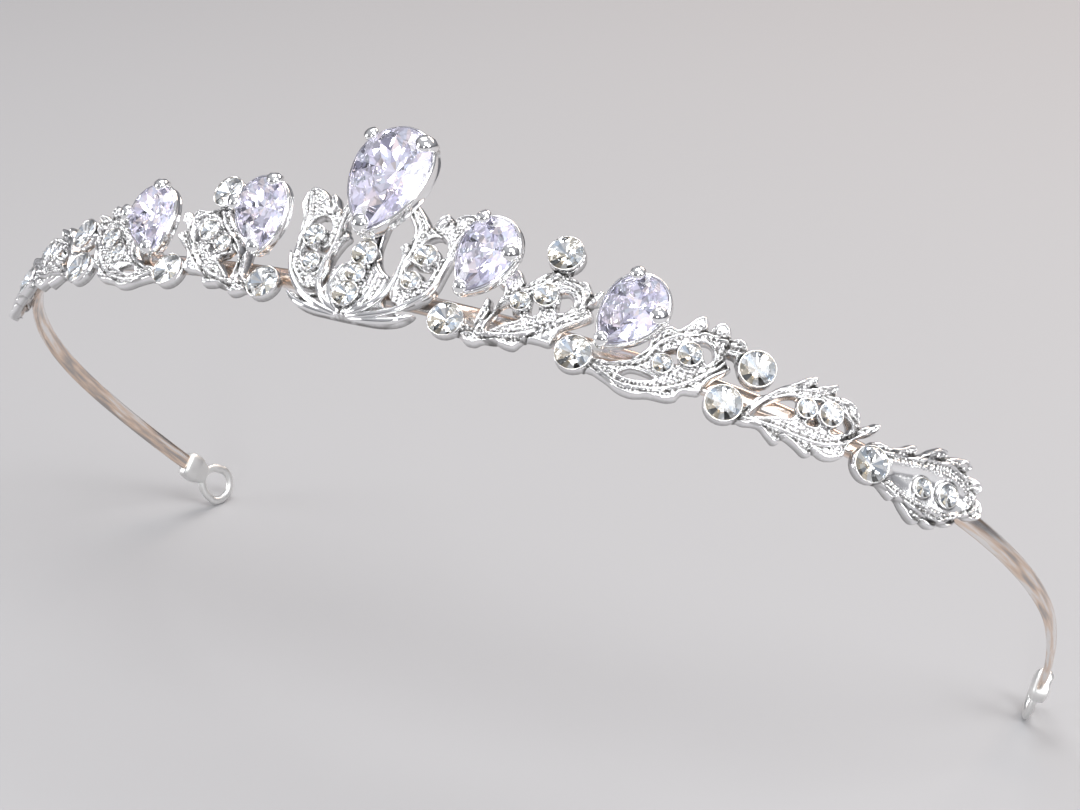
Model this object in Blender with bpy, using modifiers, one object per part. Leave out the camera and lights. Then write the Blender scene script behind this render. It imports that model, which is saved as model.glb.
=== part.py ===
"""Bridal tiara: a springy headband with a cast, stone-set vine standing along its front.

Lengths are in millimetres until they reach Blender, which gets metres. The headband is a U of
three tangent arcs a side. A place on the tiara is given by its distance along that U from the
front centre, its height, and its standoff in front of the band's centre line. Castings are drawn
as flat outlines in distance and height. Each side's pieces are drawn once and mirrored.
"""

import math

import bmesh
import bpy
from mathutils import Matrix, Vector

MM = 0.001
SMALL_GAP = 0.3

# Headband: each arc's length and radius, from the front centre towards the end.
ARCS = ((38.0, 140.0), (68.0, 50.0), (31.0, 125.0))
BAND_HEIGHT = 2.4
BAND_THICK = 1.0
BAND_EDGE = 0.22
BAND_END = 133.0
BAND_STEPS = 38
FRONT_FLAT = 2.0

# Stance as worn: the front of the band is carried higher than its ends. The vine's foot line
# rises a little against the band towards the ends.
PITCH_DEG = 47.9
HEAD_CENTRE = 45.0
BAND_RISE = 0.85
BAND_TILT_DEG = 1.2

# Ring terminal crimped on each end of the band.
RING_AT = 137.2
RING_OUTER = 3.25
RING_HOLE = 2.1
RING_THICK = 1.2
NECK_WIDTH = 3.0
NECK_LENGTH = 3.4
SLOT_LENGTH = 6.0
CRIMP_FROM = 129.6
CRIMP_LENGTH = 4.6
CRIMP_HEIGHT = 4.4
CRIMP_THICK = 2.6
CRIMP_EDGE = 0.5

# Castings are plates that stand just clear of the band, and stones stand just clear of them.
CAST_BACK = 0.85
CAST_THICK = 1.0
STONE_BACK = CAST_BACK + CAST_THICK + SMALL_GAP
CUP = 2.15

# Pear settings: how far the collet stands out past its stone, and where its claws stand.
COLLET_WALL = 0.8
COLLET_FLOOR = 0.5
CLAW_OUT = 0.7
CLAW_RADIUS = 0.5

# Spacing of the cuts that let a flat plate follow the band.
BEND_STEP = 5.0

RHINESTONE = 4.0
BIG_LEAF_STONE = 2.6
SMALL_LEAF_STONE = 2.1

# Base colour, roughness and metallic of each material.
BAND_SILVER = ((0.86, 0.83, 0.80), 0.12, 1.0)
CAST_SILVER = ((0.84, 0.84, 0.85), 0.24, 1.0)
COLLET_SILVER = ((0.86, 0.85, 0.83), 0.16, 1.0)
CLEAR_GLASS = ((0.90, 0.91, 0.92), 0.04, 0.0)
ZIRCONIA = ((0.86, 0.85, 0.93), 0.03, 0.0)


def arc(cx, cy, radius, start_deg, end_deg, steps):
    """Points on a circle from one angle to another, both ends included."""
    points = []
    for i in range(steps + 1):
        a = math.radians(start_deg + (end_deg - start_deg) * i / steps)
        points.append((cx + radius * math.cos(a), cy + radius * math.sin(a)))
    return points


def smooth_run(points, steps=2):
    """Points on a smooth curve through the given ones. The last point is left out."""
    found = []
    for i in range(len(points) - 1):
        p1 = Vector(points[i])
        p2 = Vector(points[i + 1])
        p0 = Vector(points[i - 1]) if i > 0 else p1
        p3 = Vector(points[i + 2]) if i + 2 < len(points) else p2
        for k in range(steps):
            t = k / steps
            linear = (p2 - p0) * t
            square = (2.0 * p0 - 5.0 * p1 + 4.0 * p2 - p3) * t ** 2
            cube = (3.0 * p1 - p0 - 3.0 * p2 + p3) * t ** 3
            q = (2.0 * p1 + linear + square + cube) / 2.0
            found.append((q.x, q.y))
    return found


def lobes(*runs):
    """A line of smooth lobes, with a corner where one lobe meets the next."""
    line = []
    for points, following in zip(runs, runs[1:]):
        line.extend(smooth_run(points + following[:1]))
    return line + smooth_run(runs[-1]) + runs[-1][-1:]


def lobed(*runs):
    """A closed outline of smooth lobes, with a corner where one lobe meets the next."""
    return lobes(*runs, runs[0][:1])[:-1]


def on_band(s):
    """Plan position and heading of the band's centre line at a distance s from the front centre."""
    x = 0.0
    y = 0.0
    heading = 0.0
    for index, (length, radius) in enumerate(ARCS):
        step = s if index == len(ARCS) - 1 else min(s, length)
        turn = step / radius
        x += radius * (math.sin(heading + turn) - math.sin(heading))
        y += radius * (math.cos(heading) - math.cos(heading + turn))
        heading += turn
        s -= step
        if s <= 0.0:
            break
    return x, y, heading


def pear(length, width, steps=6):
    """A pear outline: a half circle above, and one arc a side that meets its twin in a point."""
    r = width / 2
    middle = length / 2 - r
    drop = middle + length / 2
    flank = (r * r + drop * drop) / width
    sweep = math.degrees(math.asin(drop / flank))
    right = arc(r - flank, middle, flank, -sweep, 0.0, steps)
    top = arc(0.0, middle, r, 0.0, 180.0, 2 * steps)
    left = arc(flank - r, middle, flank, 180.0, 180.0 + sweep, steps)
    return right + top[1:] + left[1:-1]


def make_material(name, look):
    colour, roughness, metallic = look
    material = bpy.data.materials.new(name)
    material.use_nodes = True
    shader = material.node_tree.nodes["Principled BSDF"]
    shader.inputs["Base Color"].default_value = (*colour, 1.0)
    shader.inputs["Roughness"].default_value = roughness
    shader.inputs["Metallic"].default_value = metallic
    return material


def add_piece(name, mesh, look, parent):
    piece = bpy.data.objects.new(name, mesh)
    tiara.objects.link(piece)
    piece.parent = parent
    mesh.materials.append(make_material(name, look))
    return piece


def plate_mesh(name, outlines, thick, z_from):
    """A flat plate in the XY plane: the first outline less the ones after it."""
    curve = bpy.data.curves.new(name, "CURVE")
    curve.dimensions = "2D"
    curve.fill_mode = "BOTH"
    curve.extrude = thick / 2 * MM
    for outline in outlines:
        spline = curve.splines.new("POLY")
        spline.points.add(len(outline) - 1)
        for point, (x, y) in zip(spline.points, outline):
            point.co = (x * MM, y * MM, 0.0, 1.0)
        spline.use_cyclic_u = True
    holder = bpy.data.objects.new(name, curve)
    tiara.objects.link(holder)
    mesh = bpy.data.meshes.new_from_object(holder)
    bpy.data.objects.remove(holder)
    bpy.data.curves.remove(curve)
    bm = bmesh.new()
    bm.from_mesh(mesh)
    bmesh.ops.remove_doubles(bm, verts=bm.verts, dist=1e-7)
    bmesh.ops.translate(bm, verts=bm.verts, vec=(0.0, 0.0, (z_from + thick / 2) * MM))
    bmesh.ops.recalc_face_normals(bm, faces=bm.faces)
    bm.to_mesh(mesh)
    bm.free()
    return mesh


def stack_mesh(name, outline, levels):
    """A body raised from an outline. Each level is a height and the outline's scale there."""
    bm = bmesh.new()
    z0, s0 = levels[0]
    corners = [bm.verts.new((x * s0 * MM, y * s0 * MM, z0 * MM)) for x, y in outline]
    base = top = bm.faces.new(corners)
    for z1, s1 in levels[1:]:
        grown = bmesh.ops.extrude_face_region(bm, geom=[top])
        if top is not base:
            bmesh.ops.delete(bm, geom=[top], context="FACES_ONLY")
        verts = [part for part in grown["geom"] if isinstance(part, bmesh.types.BMVert)]
        top = [part for part in grown["geom"] if isinstance(part, bmesh.types.BMFace)][0]
        bmesh.ops.scale(bm, verts=verts, vec=(s1 / s0, s1 / s0, 1.0))
        bmesh.ops.translate(bm, verts=verts, vec=(0.0, 0.0, (z1 - z0) * MM))
        z0 = z1
        s0 = s1
    bmesh.ops.recalc_face_normals(bm, faces=bm.faces)
    mesh = bpy.data.meshes.new(name)
    bm.to_mesh(mesh)
    bm.free()
    return mesh


def box_mesh(name, size, centre, edge=0.0):
    bm = bmesh.new()
    bmesh.ops.create_cube(bm, size=1.0)
    bmesh.ops.scale(bm, verts=bm.verts, vec=[v * MM for v in size])
    if edge > 0.0:
        bmesh.ops.bevel(bm, geom=bm.edges, offset=edge * MM, segments=1, affect="EDGES")
    bmesh.ops.translate(bm, verts=bm.verts, vec=[v * MM for v in centre])
    mesh = bpy.data.meshes.new(name)
    bm.to_mesh(mesh)
    bm.free()
    return mesh


def post_mesh(name, radius, z_from, z_to, centre):
    """A six-sided claw post, narrower at its foot."""
    bm = bmesh.new()
    length = z_to - z_from
    bmesh.ops.create_cone(
        bm, cap_ends=True, segments=6, radius1=radius * 0.7 * MM, radius2=radius * MM, depth=length * MM
    )
    middle = (z_from + z_to) / 2
    bmesh.ops.translate(bm, verts=bm.verts, vec=(centre[0] * MM, centre[1] * MM, middle * MM))
    mesh = bpy.data.meshes.new(name)
    bm.to_mesh(mesh)
    bm.free()
    return mesh


def combine(piece, tool_mesh, operation):
    """Joins a mesh to a piece or cuts it out of it, and applies the result."""
    tool = bpy.data.objects.new(piece.name + "_tool", tool_mesh)
    tool.parent = piece.parent
    tiara.objects.link(tool)
    modifier = piece.modifiers.new("combine", "BOOLEAN")
    modifier.operation = operation
    modifier.solver = "EXACT"
    modifier.object = tool
    depsgraph = bpy.context.evaluated_depsgraph_get()
    result = bpy.data.meshes.new_from_object(piece.evaluated_get(depsgraph))
    piece.modifiers.clear()
    piece.data = result
    bpy.data.objects.remove(tool)


def stand(piece, side, s, height, off=0.0, lean_deg=0.0, tip_deg=0.0):
    """Stands a piece at the band, local X along it, Y up and Z outwards, then leant and tipped."""
    x, y, heading = on_band(s)
    x += math.sin(heading) * off
    y -= math.cos(heading) * off
    piece.location = (side * x * MM, y * MM, height * MM)
    turn = Matrix.Rotation(side * heading, 3, "Z")
    upright = Matrix.Rotation(math.radians(90.0), 3, "X")
    lean = Matrix.Rotation(math.radians(side * lean_deg), 3, "Z")
    tip = Matrix.Rotation(math.radians(tip_deg), 3, "X")
    piece.rotation_euler = (turn @ upright @ lean @ tip).to_euler()


def bend(mesh, side, middle):
    """Curves a flat plate along the band about its middle, as a casting is curved to fit."""
    bm = bmesh.new()
    bm.from_mesh(mesh)
    for cut in range(-1, 2):
        spot = (cut * BEND_STEP * MM, 0.0, 0.0)
        whole = bm.verts[:] + bm.edges[:] + bm.faces[:]
        bmesh.ops.bisect_plane(bm, geom=whole, dist=1e-6, plane_co=spot, plane_no=(1.0, 0.0, 0.0))
    bm.to_mesh(mesh)
    bm.free()
    x0, y0, heading0 = on_band(middle)
    for vertex in mesh.vertices:
        x, y, heading = on_band(abs(middle + side * vertex.co.x / MM))
        if middle + side * vertex.co.x / MM < 0.0:
            x = -x
            heading = -heading
        off = vertex.co.z / MM
        x += math.sin(heading) * off - x0
        y -= math.cos(heading) * off + y0
        vertex.co.x = side * (x * math.cos(heading0) + y * math.sin(heading0)) * MM
        vertex.co.z = (x * math.sin(heading0) - y * math.cos(heading0)) * MM


def add_casting(name, side, middle, outline, holes=()):
    """A vine casting cut from plate and curved to stand just in front of the band."""
    drawn = [[(side * (s - middle), z) for s, z in shape] for shape in (outline, *holes)]
    mesh = plate_mesh(name, drawn, CAST_THICK, CAST_BACK)
    bend(mesh, side, middle)
    stand(add_piece(name, mesh, CAST_SILVER, vine), side, middle, 0.0)


def add_round_stone(name, side, s, height, diameter, off=STONE_BACK):
    """A foil-backed round stone: small flat back, girdle, and a crown cut to a table."""
    rim = arc(0.0, 0.0, diameter / 2, 0.0, 360.0, 12)[:-1]
    depth = 0.30 * diameter
    levels = [(0.0, 0.62), (0.45 * depth, 1.0), (0.55 * depth, 1.0), (depth, 0.56)]
    stone = add_piece(name, stack_mesh(name, rim, levels), CLEAR_GLASS, vine)
    stand(stone, side, s, height, off)


def add_pear(place, side, s, height, off, length, width, lean_deg, tip_deg, claw_angles):
    """A pear stone and its open collet, with a claw at the point and one at each angle."""
    depth = 0.34 * width
    name = "pear_setting_" + place
    wall = [(-depth - COLLET_FLOOR, 0.46), (-0.6, 0.96)]
    collet = stack_mesh(name, pear(length + 2 * COLLET_WALL, width + 2 * COLLET_WALL), wall)
    setting = add_piece(name, collet, COLLET_SILVER, vine)
    hollow = [(-depth - 2 * COLLET_FLOOR, 0.42), (-depth, 0.46), (0.4, 1.08)]
    combine(setting, stack_mesh(name, pear(length, width), hollow), "DIFFERENCE")
    middle = length / 2 - width / 2
    claws = [(0.0, -length / 2 - CLAW_OUT)]
    for angle in claw_angles:
        a = math.radians(angle if side > 0 else 180.0 - angle)
        reach = width / 2 + CLAW_OUT
        claws.append((math.cos(a) * reach, middle + math.sin(a) * reach))
    for spot in claws:
        combine(setting, post_mesh(name, CLAW_RADIUS, -1.4, 0.7, spot), "UNION")
    stand(setting, side, s, height, off, lean_deg, tip_deg)
    stone_name = "pear_stone_" + place
    crown = 0.17 * width
    levels = [(-depth, 0.10), (-0.15, 0.97), (0.15, 0.97), (crown, 0.6)]
    cut = stack_mesh(stone_name, pear(length, width), levels)
    stand(add_piece(stone_name, cut, ZIRCONIA, vine), side, s, height, off, lean_deg, tip_deg)


def empty(name, parent, location, turn_deg):
    frame = bpy.data.objects.new(name, None)
    tiara.objects.link(frame)
    frame.parent = parent
    frame.location = [v * MM for v in location]
    frame.rotation_euler = (math.radians(turn_deg), 0.0, 0.0)
    return frame


for old in list(bpy.data.objects):
    bpy.data.objects.remove(old)
tiara = bpy.data.collections.new("bridal_tiara")
bpy.context.scene.collection.children.link(tiara)
as_worn = empty("as_worn", None, (0.0, 0.0, 0.0), -PITCH_DEG)
vine = empty("vine_frame", as_worn, (0.0, -HEAD_CENTRE, 0.0), 0.0)
hoop = empty("band_frame", vine, (0.0, 0.0, BAND_RISE), -BAND_TILT_DEG)

# Headband: one strip bent to the U, flat across its front centre, with its edges eased.
outer = []
inner = []
for i in range(BAND_STEPS + 1):
    px, py, turn = on_band(FRONT_FLAT + (BAND_END - FRONT_FLAT) * i / BAND_STEPS)
    half = BAND_THICK / 2
    outer.append((px + math.sin(turn) * half, py - math.cos(turn) * half))
    inner.append((px - math.sin(turn) * half, py + math.cos(turn) * half))
strip = [(-px, py) for px, py in reversed(outer)] + outer
strip += inner[::-1] + [(-px, py) for px, py in inner]
band_mesh = plate_mesh("headband", [strip], BAND_HEIGHT, -BAND_HEIGHT / 2)
headband = add_piece("headband", band_mesh, BAND_SILVER, hoop)
ease = headband.modifiers.new("ease", "BEVEL")
ease.width = BAND_EDGE * MM
ease.segments = 1
ease.limit_method = "ANGLE"
ease.angle_limit = math.radians(60.0)

# Ring terminals: an eyelet in the band's own plane, and a crimp sleeve closed round its end.
RING_TO_CRIMP = RING_AT - CRIMP_FROM - CRIMP_LENGTH / 2
for side, place in ((1, "right"), (-1, "left")):
    name = "ring_terminal_" + place
    neck = [(-side * NECK_LENGTH, -NECK_WIDTH / 2), (-side * NECK_LENGTH, NECK_WIDTH / 2)]
    rim = arc(0.0, 0.0, RING_OUTER, 150.0, -150.0, 24)
    if side < 0:
        rim = [(-px, py) for px, py in rim]
    hole = arc(0.0, 0.0, RING_HOLE, 0.0, 360.0, 20)[:-1]
    eyelet = plate_mesh(name, [neck + rim, hole], RING_THICK, -RING_THICK / 2)
    terminal = add_piece(name, eyelet, BAND_SILVER, hoop)
    centre = (-side * RING_TO_CRIMP, 0.0, 0.0)
    sleeve = (CRIMP_LENGTH, CRIMP_HEIGHT, CRIMP_THICK)
    combine(terminal, box_mesh(name, sleeve, centre, CRIMP_EDGE), "UNION")
    slot_end = RING_AT - BAND_END - SMALL_GAP
    slot = (SLOT_LENGTH, BAND_HEIGHT + 2 * SMALL_GAP, BAND_THICK + 2 * SMALL_GAP)
    slot_middle = (-side * (slot_end + SLOT_LENGTH / 2), 0.0, 0.0)
    combine(terminal, box_mesh(name, slot, slot_middle), "DIFFERENCE")
    stand(terminal, side, RING_AT, 0.0)

# Centre casting: a palmette with a curved foot, drawn as its right half.
half_outline = lobed(
    [(0.0, -4.0), (2.5, -3.95), (4.8, -3.8), (6.8, -3.2), (8.0, -2.2)],
    [(8.3, -1.5), (7.2, -1.8), (6.0, -1.75), (4.9, -1.55), (4.1, -1.0), (3.8, 0.2), (3.8, 1.6)],
    [(3.7, 2.4), (2.8, 2.8), (1.9, 3.6), (1.3, 4.8), (1.0, 6.0)],
    [(0.9, 8.6), (0.0, 8.7)],
)
right_edge = [point for point in half_outline if point[0] >= 0.0]
left_edge = [(-px, py) for px, py in reversed(right_edge) if px > 0.01]
foot_slot = [(3.0, -2.6), (3.6, -2.0), (5.2, -2.1), (6.2, -2.5), (5.0, -3.0), (3.8, -3.0)]
foot_slots = [foot_slot, [(-px, py) for px, py in foot_slot]]
add_casting("centre_casting", 1, 0.0, right_edge + left_edge, foot_slots)
add_round_stone("centre_stone_top", 1, 0.0, 4.15, 3.0)
add_round_stone("centre_stone_middle", 1, 0.0, 1.4, 2.3)
add_round_stone("centre_stone_bottom", 1, 0.0, -1.4, 3.0)
add_pear("centre", 1, 0.0, 12.8, 5.7, 14.0, 10.0, 0.0, 0.0, (38.0, 142.0))

# Leaf 1: the upright leaf beside the centre, with an arm towards the big pear.
LEAF_1 = lobed(
    [(5.0, -0.9), (6.6, -1.1), (8.0, -0.5), (9.2, 0.5), (9.8, 1.8), (10.2, 5.0), (10.7, 7.6)],
    [(11.8, 9.3), (11.7, 11.0), (11.0, 12.0), (9.9, 12.0), (9.0, 11.6)],
    [(8.3, 11.0), (7.7, 11.4), (7.0, 11.0), (6.4, 10.0)],
    [(6.0, 9.6), (5.1, 10.6), (4.1, 11.4), (3.1, 11.6), (2.7, 10.9), (3.2, 9.9), (3.9, 9.0), (4.3, 8.0)],
    [(4.2, 7.2), (3.3, 6.2), (3.8, 5.2), (4.3, 3.4), (4.25, 1.8), (4.4, 0.2)],
)
LEAF_1_HOLES = (
    lobed(
        [(6.1, 6.5), (6.5, 7.5), (7.3, 8.1), (8.2, 8.1), (8.9, 7.3), (9.1, 6.2)],
        [(8.9, 5.7), (8.3, 6.6), (7.5, 6.95), (6.7, 6.75)],
    ),
    lobed([(5.5, 4.5), (6.4, 4.0), (8.4, 4.0), (8.1, 2.7)], [(7.6, 3.3), (6.8, 3.6), (5.5, 3.4)]),
)

# Leaf 2: lies outwards, with a twig at its foot, the first low cup and the first high cup.
LEAF_2 = (
    arc(12.2, -1.3, CUP, 15.0, 325.0, 18)
    + lobes(
        [(14.6, -2.9), (15.4, -3.4), (16.4, -3.4), (17.2, -2.8)],
        [(18.6, -2.4), (19.6, -2.7), (20.7, -2.7), (21.2, -2.1)],
        [(21.6, -1.3), (23.0, -1.2), (24.4, -1.2), (24.8, -0.3), (25.2, 1.0)],
        [(26.2, 1.8), (27.8, 3.0), (27.9, 3.7), (27.3, 4.6), (28.0, 5.2), (28.3, 6.5)],
        [(27.7, 6.9), (27.0, 6.4), (26.2, 7.2), (25.2, 7.2)],
    )
    + arc(22.6, 9.7, CUP, -60.0, 240.0, 18)
    + lobes(
        [(21.0, 7.0), (20.3, 6.2), (19.4, 5.5), (18.5, 6.5), (17.6, 6.7), (16.2, 6.0), (16.2, 4.6)],
        [(17.1, 4.0), (17.2, 2.7), (16.8, 1.2)],
        [(16.4, 2.4), (15.8, 2.4), (15.5, 1.0), (15.3, -0.4), (15.3, -1.2)],
    )
)
LEAF_2_HOLES = (
    lobed(
        [(17.0, -0.8), (17.5, 1.4), (18.2, 2.2), (18.7, 2.2)],
        [(19.1, 1.5), (20.2, 1.0), (19.2, 0.3), (18.0, -0.6), (17.2, -1.4)],
    ),
    lobed([(20.7, 4.1), (21.2, 3.8), (21.9, 2.3), (21.4, 1.7)], [(20.9, 2.6)]),
    lobed([(23.6, 4.9), (24.5, 5.2), (25.2, 4.4), (25.0, 3.4), (24.1, 2.9)], [(23.8, 3.9)]),
)

# Leaf 3: carries the second low cup at its foot and the second high cup at its head.
LEAF_3 = (
    arc(27.3, -1.2, CUP, 20.0, 318.0, 18)
    + lobes(
        [(30.0, -2.7), (31.8, -3.3), (33.2, -3.9), (34.8, -4.0), (36.4, -3.5), (38.4, -3.3)],
        [(39.4, -2.8), (39.8, -1.9), (40.8, -1.6), (41.5, -1.3), (41.8, -0.2), (42.4, 0.9)],
        [(43.4, 1.9), (43.8, 2.8), (43.1, 3.3), (42.8, 3.9), (43.7, 3.9)],
    )
    + arc(46.3, 3.6, CUP, 205.0, 487.0, 18)
    + lobes(
        [(44.6, 6.0), (43.6, 6.35), (42.8, 6.2)],
        [(42.4, 7.1), (41.6, 7.5), (40.8, 7.1), (40.2, 6.3)],
        [(39.9, 7.2), (39.3, 7.6), (38.5, 7.1), (37.8, 6.0), (37.1, 5.2)],
        [(36.4, 5.4), (35.6, 5.0), (34.5, 4.4), (34.4, 3.2), (34.6, 2.0), (33.6, 0.6)],
        [(32.6, -0.4), (31.2, -0.9), (29.9, -0.7)],
    )
)
LEAF_3_HOLES = (
    lobed([(32.9, -1.9), (33.7, -1.2), (35.0, -1.1), (36.4, -1.3), (35.2, -1.8), (34.0, -2.0)]),
    lobed([(36.8, 2.0), (37.7, 2.5), (38.1, 1.9)], [(38.3, 1.1), (37.6, 1.4)]),
    lobed([(39.3, 4.0), (40.3, 4.35), (41.1, 4.1), (41.5, 3.0)], [(41.2, 2.3), (40.7, 2.9), (40.2, 3.6)]),
)

# Leaf 4: long and open, with a curled tip and the third low cup at its foot.
LEAF_4 = (
    arc(44.2, -1.4, CUP, 20.0, 322.0, 18)
    + lobes(
        [(46.8, -2.8), (48.4, -2.4), (49.5, -3.0), (50.4, -3.5), (51.0, -3.2)],
        [(51.2, -2.4), (52.6, -2.8), (53.9, -3.35), (54.6, -3.1)],
        [(54.9, -2.5), (56.0, -2.8), (57.2, -2.4), (58.0, -1.6), (58.2, -0.6)],
        [(58.5, 0.4), (59.2, 1.3), (60.3, 2.1), (61.0, 3.1), (60.8, 3.8), (60.2, 3.7), (59.6, 3.1)],
        [(58.9, 2.7), (58.4, 3.7), (57.4, 4.5), (56.2, 4.8)],
        [(55.3, 4.6), (55.3, 5.5), (54.8, 5.8), (53.9, 5.3)],
        [(53.0, 4.9), (52.9, 5.5), (52.4, 5.7), (51.4, 5.0), (50.4, 4.0), (49.5, 3.3)],
        [(48.9, 2.7), (48.2, 1.8), (47.2, 0.9), (46.5, -0.3)],
    )
)
LEAF_4_HOLES = (
    lobed(
        [(47.4, -1.3), (48.4, 0.4), (49.3, 1.3), (50.4, 2.0), (51.4, 2.2)],
        [(51.5, 0.7), (51.2, 0.1), (49.8, -0.3), (48.5, -0.9)],
    ),
    lobed([(53.1, 2.7), (53.9, 2.9)], [(53.8, 1.4), (54.1, 0.4)], [(53.2, 0.2), (53.6, 1.6)]),
    lobed([(56.3, 2.9), (57.1, 2.3), (57.6, 1.4), (56.8, 0.8), (55.9, 0.4)], [(56.6, 1.6)]),
)

# Leaf 5: the closed end leaf, with the fourth low cup at its foot.
LEAF_5 = (
    arc(61.1, -1.0, CUP, 120.0, 310.0, 14)
    + lobes(
        [(63.0, -2.8), (63.8, -3.2), (64.6, -3.5), (65.3, -3.2)],
        [(66.2, -3.8), (67.4, -4.5), (68.4, -4.6)],
        [(69.2, -4.0), (70.2, -4.2), (71.1, -3.8)],
        [(71.3, -3.1), (72.5, -2.9), (73.5, -2.0), (73.9, -0.9)],
        [(75.0, -0.8), (76.1, -0.3), (76.5, 0.8), (76.1, 1.8)],
        [(75.2, 2.3), (75.3, 3.3), (74.5, 4.0), (73.3, 4.1)],
        [(73.5, 4.9), (72.8, 5.3), (71.6, 5.3), (70.6, 4.9)],
        [(69.9, 4.5), (69.4, 5.1), (68.4, 4.9), (67.4, 4.1), (66.7, 3.3)],
        [(66.1, 2.8), (65.6, 3.6), (64.8, 3.4), (64.0, 2.7), (62.8, 2.1), (61.4, 2.0), (60.5, 1.6)],
    )
)

# One pear on each side stands over leaf 1's shoulder and one between leaves 2 and 3.
for side, place in ((1, "right"), (-1, "left")):
    add_casting("leaf_1_" + place, side, 7.5, LEAF_1, LEAF_1_HOLES)
    add_casting("leaf_2_" + place, side, 20.0, LEAF_2, LEAF_2_HOLES)
    add_casting("leaf_3_" + place, side, 37.0, LEAF_3, LEAF_3_HOLES)
    add_casting("leaf_4_" + place, side, 52.0, LEAF_4, LEAF_4_HOLES)
    add_casting("leaf_5_" + place, side, 68.0, LEAF_5)
    add_pear("inner_" + place, side, 14.6, 6.2, 5.1, 9.5, 7.0, -15.0, 10.0, (5.0, 130.0))
    add_pear("outer_" + place, side, 31.9, 4.6, 4.2, 9.5, 7.0, -24.0, 6.0, (5.0, 130.0))
    for number, (s, height) in enumerate(((12.2, -1.3), (27.3, -1.2), (44.2, -1.4), (61.1, -1.0)), 1):
        add_round_stone(f"low_stone_{number}_{place}", side, s, height, RHINESTONE)
    for number, (s, height) in enumerate(((22.6, 9.7), (46.3, 3.6)), 1):
        add_round_stone(f"high_stone_{number}_{place}", side, s, height, RHINESTONE)
    pairs = (
        ((6.6, 2.1), (7.4, 5.3)),
        ((19.8, 2.7), (22.4, 4.1)),
        ((36.9, 0.5), (39.3, 2.4)),
        ((52.5, 1.6), (55.1, 2.0)),
        ((68.0, -0.3), (71.3, 0.4)),
    )
    for number, (near, far) in enumerate(pairs, 1):
        add_round_stone(f"leaf_{number}_small_stone_{place}", side, *near, SMALL_LEAF_STONE)
        add_round_stone(f"leaf_{number}_big_stone_{place}", side, *far, BIG_LEAF_STONE)
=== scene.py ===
"""The bridal tiara's looks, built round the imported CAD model.

Lengths are in millimetres until they reach Blender. A place on the tiara is its distance along the
headband from the front centre, its height, and its standoff in front of the band's centre line.
"""

import math

import bpy
import numpy as np
from mathutils import Matrix, Vector


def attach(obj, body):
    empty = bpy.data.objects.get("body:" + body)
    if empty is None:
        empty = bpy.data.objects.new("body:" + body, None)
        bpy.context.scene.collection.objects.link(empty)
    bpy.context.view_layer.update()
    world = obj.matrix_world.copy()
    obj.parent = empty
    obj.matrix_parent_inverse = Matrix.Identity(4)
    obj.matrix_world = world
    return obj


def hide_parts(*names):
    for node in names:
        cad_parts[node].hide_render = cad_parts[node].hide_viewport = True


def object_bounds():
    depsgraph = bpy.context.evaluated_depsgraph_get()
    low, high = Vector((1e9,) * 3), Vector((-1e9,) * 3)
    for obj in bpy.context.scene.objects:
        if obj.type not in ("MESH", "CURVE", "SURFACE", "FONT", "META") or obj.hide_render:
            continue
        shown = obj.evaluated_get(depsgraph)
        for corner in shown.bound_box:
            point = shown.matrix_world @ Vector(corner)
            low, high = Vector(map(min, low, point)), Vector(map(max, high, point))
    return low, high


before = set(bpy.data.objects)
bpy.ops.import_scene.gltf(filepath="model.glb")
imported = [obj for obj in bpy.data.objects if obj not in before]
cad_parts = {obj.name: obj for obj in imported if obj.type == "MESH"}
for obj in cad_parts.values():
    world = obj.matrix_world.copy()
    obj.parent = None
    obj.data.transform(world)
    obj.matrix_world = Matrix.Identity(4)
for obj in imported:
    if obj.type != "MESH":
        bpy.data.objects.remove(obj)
cad_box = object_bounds()

MM = 0.001

# The headband's three arcs a side (length, radius), its section and where its ends are.
ARCS = ((38.0, 140.0), (68.0, 50.0), (31.0, 125.0))
BAND_HEIGHT = 2.4
BAND_THICK = 1.0
BAND_END = 133.0
RING_AT = 137.2
RING_OUTER = 3.25
RING_HOLE = 2.1
CRIMP_FROM = 129.6
CRIMP_LENGTH = 4.6
CRIMP_HEIGHT = 4.4
CUP = 2.15
RHINESTONE = 4.0
BIG_LEAF_STONE = 2.6
SMALL_LEAF_STONE = 2.1

# Stance as worn, the band's rise and tilt in the vine's frame, and the frames themselves.
PITCH_DEG = 47.9
HEAD_CENTRE = 45.0
BAND_RISE = 0.85
BAND_TILT_DEG = 1.2
WORN = Matrix.Rotation(math.radians(-PITCH_DEG), 4, "X")
VINE = WORN @ Matrix.Translation((0.0, -HEAD_CENTRE, 0.0))
TILT = Matrix.Rotation(math.radians(-BAND_TILT_DEG), 4, "X")
HOOP = VINE @ Matrix.Translation((0.0, 0.0, BAND_RISE)) @ TILT

# Castings: the grid they are drawn on, how far their back lies behind their front, the standoff that
# cups sit down to, the spacing of their beads, and how far from a rib a lobe still belongs to it.
GRID = 0.08
BACK_DEPTH = 1.15
SEAT_LEVEL = 1.35
BEAD_PITCH = 0.44
RIB_REACH = 4.2

# A facet whose corners all lie behind this height, just under the girdle's middle, is a mirror with painted
# glints.
PAVILION_FROM = -0.005


def along_band(s):
    """Plan position and heading of the band's centre line at each distance s, mirrored below 0."""
    s = np.asarray(s, float)
    x = np.zeros(s.shape)
    y = np.zeros(s.shape)
    heading = np.zeros(s.shape)
    left = np.abs(s)
    for index, (length, radius) in enumerate(ARCS):
        step = left if index == len(ARCS) - 1 else np.minimum(left, length)
        turn = step / radius
        x += radius * (np.sin(heading + turn) - np.sin(heading))
        y += radius * (np.cos(heading) - np.cos(heading + turn))
        heading += turn
        left = left - step
    sign = np.where(s < 0.0, -1.0, 1.0)
    return x * sign, y, heading * sign


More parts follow.
